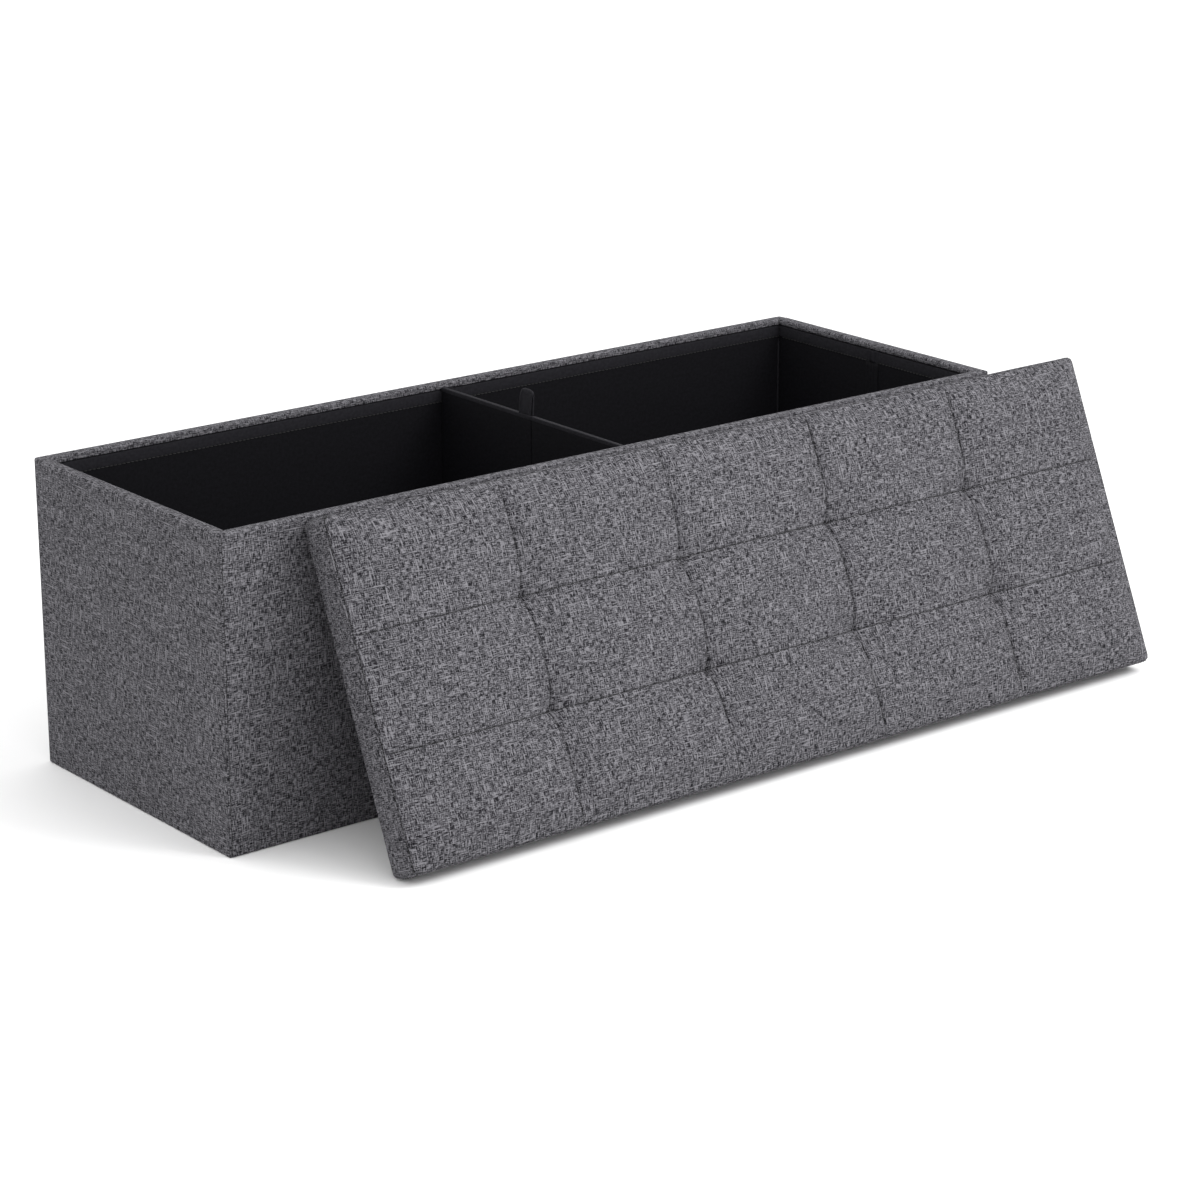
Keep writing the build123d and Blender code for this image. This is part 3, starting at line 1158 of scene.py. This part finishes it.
# ---------------------------------------------------------------- the lid
@dataclass
class Lid:
    """The tufted lid, worked out lying flat and then laid against the wall.

    Attributes:
        finishes: the materials.
        corner: radius of its four corners.
        seam_height: of the line where the side band meets the top.
        seam_inset: how far that line lies inside the lid's outline.
        pad_height: of the pads' shoulders.
        shoulder: how far in from the side the top becomes level.
        tuft_drop: how far a tuft is pulled under the pads.
        columns: tufts along the lid.
        rows: tufts across it.
        turn_under: width of linen folded under the board.
        cap: how far the cloth simulation may move a point.
    """

    finishes: Finishes
    frame: dict
    corner: float = 6.5 * MM
    seam_height: float = 41 * MM
    seam_inset: float = 0.8 * MM
    pad_height: float = 52 * MM
    shoulder: float = 34 * MM
    tuft_drop: float = 9.5 * MM
    columns: int = 4
    rows: int = 2
    turn_under: float = 26 * MM
    cap: float = 5 * MM

    def __post_init__(self) -> None:
        """Reads the lid's size and the slope it leans at from the frame."""
        low, high = node_box("lid_linen")
        half_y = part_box("back_wall_linen")[1][1] / 2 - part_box("front_wall_linen")[0][1] / 2
        self.half = np.array([(high[0] - low[0]) / 2, half_y])
        swing = next(joint for joint in self.frame["joints"] if joint["name"] == "lid_swing")
        self.slope = math.radians(swing["range_deg"][1])
        under_low, under_high = node_box("lid_dust_cover")
        normal = np.array([0, -math.sin(self.slope), math.cos(self.slope)])
        self.middle = (under_low + under_high) / 2 - normal * 0.6 * MM
        self.seams = [(np.arange(count) - (count - 1) / 2) * 2 * half / (count + 1)
                      for count, half in zip((self.columns, self.rows), self.half)]

    def to_row(self, points: Array) -> Array:
        """Points from the flat lid to the row frame: turned about X by the slope, then moved.

        Args:
            points: in the flat lid's coordinates, (n, 3).

        Returns:
            The points in the row frame.
        """
        x, y, z = points.T
        c, s = math.cos(self.slope), math.sin(self.slope)
        return np.stack([x, y * c - z * s, y * s + z * c], axis=1) + self.middle

    def level(self, x: Array, y: Array) -> Array:
        """The padded top without its creases.

        The shoulder rises from the side seam as one minus a power of the distance left, pads swell
        between the seams, and each tuft pulls down a funnel that falls off with distance.

        Args:
            x: along the lid.
            y: across it.

        Returns:
            Heights over the underside.
        """
        rise = [1 - (1 - fade(self.shoulder, half - np.abs(value))) ** 2.6
                for half, value in zip(self.half, (x, y))]
        near_x, near_y = (nearest(value, marks) for value, marks in zip((x, y), self.seams))
        reach = np.hypot(near_x, near_y)
        funnel = self.tuft_drop * bell(reach, 21 * MM, 1.15)
        cross = 4.6 * MM * bell(near_x, 17 * MM, 1.4) * (0.50 + 0.50 * bell(near_y, 34 * MM, 1.6))
        long = 2.6 * MM * bell(near_y, 15 * MM, 1.4) * (0.25 + 0.75 * bell(near_x, 40 * MM, 1.6))
        fan = np.sin(np.arctan2(near_y, near_x) * 8 + 5 * x / self.half[0])
        pleats = 0.35 * MM * fan * bell(reach - 16 * MM, 12 * MM)
        body = self.pad_height - self.seam_height
        return self.seam_height + rise[0] * rise[1] * (body - funnel - cross - long + pleats)

    def crease(self, x: Array, y: Array) -> Array:
        """How deep the sewn lines are pulled in, as narrow bells along every seam.

        Args:
            x: along the lid.
            y: across it.

        Returns:
            Depths under the padded top, the deepest of the seams and the tufts' pits.
        """
        near_x, near_y = (nearest(value, marks) for value, marks in zip((x, y), self.seams))
        border_x, border_y = (fade(10 * MM, half - np.abs(value)) for half, value in zip(self.half, (x, y)))
        cross = (1.9 + 1.3 * bell(near_y, 60 * MM)) * MM * bell(near_x, 1.25 * MM)
        long = 2.0 * MM * bell(near_y, 1.15 * MM)
        pit = 4.5 * MM * bell(np.hypot(near_x, near_y), 4.5 * MM)
        return border_x * border_y * np.maximum(np.maximum(cross, long), pit)

    def surface(self, x: Array, y: Array, sample: Sample) -> Array:
        """The finished top at (x, y): level, creased, inflated and with its corners rounded, (..., 3).

        Args:
            x: along the lid.
            y: across it.
            sample: gives the simulation's movement at (x, y).

        Returns:
            The points of the top in the flat lid's coordinates.
        """
        moved = sample(x, y)
        height = self.level(x, y) + moved[..., 2] - self.crease(x, y)
        shrink = 1 - self.seam_inset / self.half
        flat_x, flat_y = rounded(x + moved[..., 0], y + moved[..., 1], self.half, self.corner)
        return np.stack([flat_x * shrink[0], flat_y * shrink[1], height], axis=-1)

    def inflated(self) -> Sample:
        """Blows the cover up by cloth simulation, held at its rim and at its tufts.

        Returns:
            A function of (x, y) that gives how far the simulation moved each point, (..., 3).
        """
        x, y = (steps(2 * half, 6.5 * MM) - half for half in self.half)
        grid_x, grid_y = np.meshgrid(x, y, indexing="ij")
        start = np.stack([grid_x, grid_y, self.level(grid_x, grid_y)], axis=-1)
        moved = self.simulate(start)

        def sample(at_x: Array, at_y: Array) -> Array:
            """Looks the movement up between the simulated points, straight lines both ways."""
            i = np.clip(np.searchsorted(x, at_x) - 1, 0, len(x) - 2)
            j = np.clip(np.searchsorted(y, at_y) - 1, 0, len(y) - 2)
            s = fade(x[i + 1] - x[i], at_x - x[i])[..., None]
            t = fade(y[j + 1] - y[j], at_y - y[j])[..., None]
            low = moved[i, j] * (1 - s) + moved[i + 1, j] * s
            high = moved[i, j + 1] * (1 - s) + moved[i + 1, j + 1] * s
            return low * (1 - t) + high * t

        return sample

    def simulate(self, start: Array) -> Array:
        """Runs the cloth on a closed bag whose flat back, rim and tufts are pinned.

        Args:
            start: the top's grid before, (columns, rows, 3).

        Returns:
            How far each grid point moved, no further than the cap.
        """
        columns, rows = start.shape[:2]
        count, last = columns * rows, 20
        top = np.arange(count).reshape(columns, rows)
        back = top.copy()
        back[1:-1, 1:-1] = count + np.arange((columns - 2) * (rows - 2)).reshape(columns - 2, rows - 2)
        under = start[1:-1, 1:-1].reshape(-1, 3) * [1, 1, 0] + [0, 0, 20 * MM]
        points = np.concatenate([start.reshape(-1, 3), under])
        mesh = bpy.data.meshes.new("bag")
        mesh.from_pydata(points.tolist(), [], np.concatenate([quads(top), quads(back)[:, ::-1]]).tolist())
        bag = bpy.data.objects.new("bag", mesh)
        scene = bpy.context.scene
        scene.collection.objects.link(bag)
        pinned = np.hypot(*(nearest(start[..., axis], self.seams[axis]) for axis in (0, 1))) < 8 * MM
        pinned[[0, -1]] = pinned[:, [0, -1]] = True
        group = bag.vertex_groups.new(name="held")
        group.add([*top[pinned].tolist(), *range(count, len(points))], 1.0, "REPLACE")
        cloth = bag.modifiers.new("cloth", "CLOTH")
        settings = cloth.settings
        settings.vertex_group_mass = "held"
        settings.quality = 6
        settings.mass = 0.25
        settings.tension_stiffness = settings.compression_stiffness = 12
        settings.shear_stiffness = 4
        settings.bending_stiffness = 0.25
        settings.shrink_min = -0.012
        settings.use_pressure = True
        settings.uniform_pressure_force = 4
        settings.effector_weights.gravity = 0
        cloth.collision_settings.use_collision = False
        cloth.point_cache.frame_start, cloth.point_cache.frame_end = 1, last
        for frame in range(1, last + 1):
            scene.frame_set(frame)
        result = bag.evaluated_get(bpy.context.evaluated_depsgraph_get()).to_mesh()
        after = np.empty(len(points) * 3)
        result.vertices.foreach_get("co", after)
        scene.frame_set(1)
        bpy.data.objects.remove(bag)
        bpy.data.meshes.remove(mesh)
        moved = after.reshape(-1, 3)[:count].reshape(start.shape) - start
        size = np.linalg.norm(moved, axis=-1, keepdims=True)
        LOG.info("cloth moved up to %.1f mm, mean %.1f mm", size.max() / MM, size.mean() / MM)
        return moved * np.minimum(1, self.cap / np.maximum(size, TINY))

    def build(self) -> None:
        """Makes the cushion's cover, its stitches and the dust cover."""
        sample = self.inflated()
        x, y = (steps(2 * half, 5 * MM, marks + half, 0.65 * MM, 12 * MM) - half
                for half, marks in zip(self.half, self.seams))
        grid_x, grid_y = np.meshgrid(x, y, indexing="ij")
        top = self.surface(grid_x, grid_y, sample)
        cloth = np.stack([grid_x, grid_y], axis=-1)
        band, weave = self.band(grid_edge(top), grid_edge(cloth))
        self.sew("lid_band_thread", self.band_threads(band))
        cover = Patch.join([Patch.grid(top, cloth), Patch.grid(band, weave, closed=True)])
        made = piece("lid_cushion", cover.mapped(self.to_row), self.finishes.linen, "lid",
                     "lid_linen", "lid_foam")
        self.sew("lid_seam_thread", self.seam_threads(sample), "lid_tuft_threads")
        self.underside()

    def sew(self, name: str, rows: Sequence[Patch], *replaced: str) -> None:
        """Puts rows of stitches into the scene as one piece."""
        # The near-black thread also paints the shade of the creases and of the arris that the stitches lie in.
        piece(name, Patch.join(rows).mapped(self.to_row), self.finishes.thread, "lid", *replaced)

    def band(self, edge: Array, weave: Array) -> tuple[Array, Array]:
        """The band round the lid and the border turned under it, carried round the top's own edge.

        Args:
            edge: the points of the top's edge, once round.
            weave: their places on the cloth.

        Returns:
            Rows of points from the top's edge down and under, and their places on the cloth.
        """
        flat = edge[:, :2]
        core = self.half - self.corner
        out = unit(flat - np.clip(flat, -core, core))
        tall = self.seam_height
        share = np.linspace(0.94, 0.06, 14)
        bulge = 1.6 * MM * np.sin(share * math.pi) ** 0.7
        rows = [(self.seam_inset + 1.3 * MM, tall - 1.0 * MM), *zip(-bulge, share * tall)]
        rows += [(0.7 * MM, 0.9 * MM), (2.2 * MM, 0.15 * MM), (4.5 * MM, 0.0)]
        rows += [(inset * MM, 0.0) for inset in (9, 15, 20, 25)]
        rows += [(self.turn_under, 0.3 * MM), (self.turn_under, 1.2 * MM)]
        points, weaves, run = [edge], [weave], 0.0
        before = (self.seam_inset, tall)
        for inset, height in rows:
            run += math.hypot(inset - before[0], height - before[1])
            before = (inset, height)
            pulled = self.half - max(self.corner, inset)
            line = np.clip(flat, -pulled, pulled) + out * max(self.corner - inset, 0)
            line = line + out * self.band_ripple(edge, height)[:, None]
            points.append(np.concatenate([line, np.full((len(line), 1), height)], axis=1))
            weaves.append(weave + out * run)
        return np.stack(points), np.stack(weaves)

    def band_ripple(self, edge: Array, height: float) -> Array:
        """Small outward waves of the side band, and a nip where each seam runs over it.

        Args:
            edge: the points of the top's edge, once round.
            height: of the row over the underside.

        Returns:
            How far each point of the row stands out, nothing at the band's top and foot.
        """
        share = math.sin(math.pi * fade(self.seam_height, height))
        nips = [bell(nearest(edge[:, axis], self.seams[axis]), 3 * MM)
                * (np.abs(edge[:, 1 - axis]) > self.half[1 - axis] * 0.9) for axis in (0, 1)]
        return share * (waves(edge[:, 0], edge[:, 1] * 1.3, 0.5 * MM, 77) - 0.9 * MM * np.maximum(*nips))

    def band_threads(self, band: Array) -> list[Patch]:
        """Stitches round the arris and up each corner.

        Args:
            band: the band's rows of points in the lid's own coordinates.

        Returns:
            The rows of stitches.
        """
        out = band[2] - band[2].mean(axis=0)
        out = np.concatenate([out[:, :2] / np.abs(out[:, :2]).max(axis=0), np.zeros((len(out), 1))], axis=1)
        arris = band[1] + out * 1.2 * MM
        rows = [stitches(np.concatenate([arris, arris[:1]]), 5.0 * MM, 4.2 * MM, 0.55 * MM)]
        x, y = band[0, :, 0], band[0, :, 1]
        outermost = np.abs(x) / self.half[0] + np.abs(y) / self.half[1]
        for way_x, way_y in ((-1, -1), (-1, 1), (1, -1), (1, 1)):
            corner = np.argmax(np.where((x * way_x > 0) & (y * way_y > 0), outermost, 0))
            path = band[1:15, corner] + out[corner] * 0.12 * MM
            rows.append(stitches(path, 4.6 * MM, 3.9 * MM, 0.35 * MM))
        return rows

    def seam_threads(self, sample: Sample) -> list[Patch]:
        """Stitches along every crease.

        Args:
            sample: gives the simulation's movement at (x, y).

        Returns:
            The rows of stitches.
        """
        rows = []
        for axis, marks in enumerate(self.seams):
            reach = self.half[1 - axis] - 5 * MM
            run = np.linspace(-reach, reach, 600)
            for mark in marks:
                line = np.full_like(run, mark)
                path = self.surface(*((line, run) if axis == 0 else (run, line)), sample)
                rows.append(stitches(path + [0, 0, 0.35 * MM], 5.2 * MM, 4.6 * MM, 0.5 * MM))
        return rows

    def underside(self) -> None:
        """The black cloth stapled over the lid's board, puckered a little between the staples."""
        length, width = 2 * (self.half - self.turn_under)

        def place(points: Array) -> Array:
            """Lower side waves between the staples and sags by a fraction of a millimetre."""
            x, y, z = points.T
            inside = fade(CALM, x, length - x, y, width - y)
            sag = inside * (0.5 * MM + waves(x, y, 0.35 * MM, 91))
            return np.stack([x - length / 2, y - width / 2, z + 0.1 * MM + sag * 0.6], axis=1)

        cloth = slab((length, width, 0.9 * MM), 0.35 * MM, 0.011).mapped(place, self.to_row)
        made = piece("lid_dust_cloth", cloth, self.finishes.lining, "lid", "lid_dust_cover")


# ---------------------------------------------------------------- stage, light, camera
@dataclass(frozen=True)
class Studio:
    """A pale floor, soft light from above and the front, and the camera.

    Attributes:
        azimuth: camera's turn about Z in degrees, 0 looking along +Y.
        elevation: how many degrees it looks down.
        place: where it stands.
        lens: focal length in millimetres on a 36 mm sensor.
        floor_reach: half the floor's side.
        floor_level: just under the object.
        aim: what the lamps face.
    """

    azimuth: float = -38.77
    elevation: float = 17.80
    place: tuple[float, float, float] = (-2.3468, -3.0461, 1.3617)
    lens: float = 103.11
    floor_reach: float = 9.0
    floor_level: float = -0.2 * MM
    aim: tuple[float, float, float] = (0, 0, 0.2)

    def build(self) -> None:
        """Makes the floor, the lights and the camera."""
        self.floor()
        self.room()
        self.lamp("key", (1.6, -2.6, 2.6), 1.6, 58)
        self.lamp("overhead", (0.1, -1.0, 1.35), 0.9, 7)
        self.camera()

    def floor(self) -> None:
        """A wide plain floor."""
        mesh = bpy.data.meshes.new("studio_floor")
        corners = [(x * self.floor_reach, y * self.floor_reach, self.floor_level)
                   for x, y in ((-1, -1), (1, -1), (1, 1), (-1, 1))]
        mesh.from_pydata(corners, [], [(0, 1, 2, 3)])
        recipe = Recipe("studio_floor")
        recipe.shader.inputs["Base Color"].default_value = (0.92, 0.92, 0.92, 1)
        recipe.constants(Roughness=0.9)
        mesh.materials.append(recipe.material)
        floor = bpy.data.objects.new("studio_floor", mesh)
        bpy.context.scene.collection.objects.link(floor)

    @staticmethod
    def room() -> None:
        """Even white light from all round."""
        world = bpy.data.worlds.new("studio")
        world.use_nodes = True
        background = world.node_tree.nodes["Background"]
        background.inputs["Color"].default_value = (1, 1, 1, 1)
        background.inputs["Strength"].default_value = 1.3
        bpy.context.scene.world = world

    def lamp(self, name: str, place: tuple[float, float, float], size: float, power: float) -> None:
        """A large soft square lamp that faces the object.

        Args:
            name: of the lamp.
            place: where it hangs.
            size: of its side.
            power: in watts.
        """
        light = bpy.data.lights.new(name, "AREA")
        light.shape, light.size, light.energy = "SQUARE", size, power
        lamp = bpy.data.objects.new(name, light)
        lamp.location = place
        lamp.rotation_euler = (Vector(self.aim) - Vector(place)).to_track_quat("-Z", "Y").to_euler()
        bpy.context.scene.collection.objects.link(lamp)

    def camera(self) -> None:
        """A long lens with no shift and no depth of field."""
        data = bpy.data.cameras.new("camera")
        data.lens, data.sensor_width = self.lens, 36
        camera = bpy.data.objects.new("camera", data)
        camera.location = self.place
        camera.rotation_euler = (math.radians(90 - self.elevation), 0, math.radians(self.azimuth))
        bpy.context.scene.collection.objects.link(camera)
        bpy.context.scene.camera = camera
        bpy.context.scene.view_settings.view_transform = "Standard"


def main() -> None:
    """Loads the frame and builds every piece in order."""
    logging.basicConfig(level=logging.INFO, format="%(name)s: %(message)s")
    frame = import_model()
    finishes = Finishes()
    finishes.dress_cad(frame["nodes"])
    Studio().build()
    Box(finishes).build()
    Lid(finishes, frame).build()


if __name__ == "__main__":
    main()
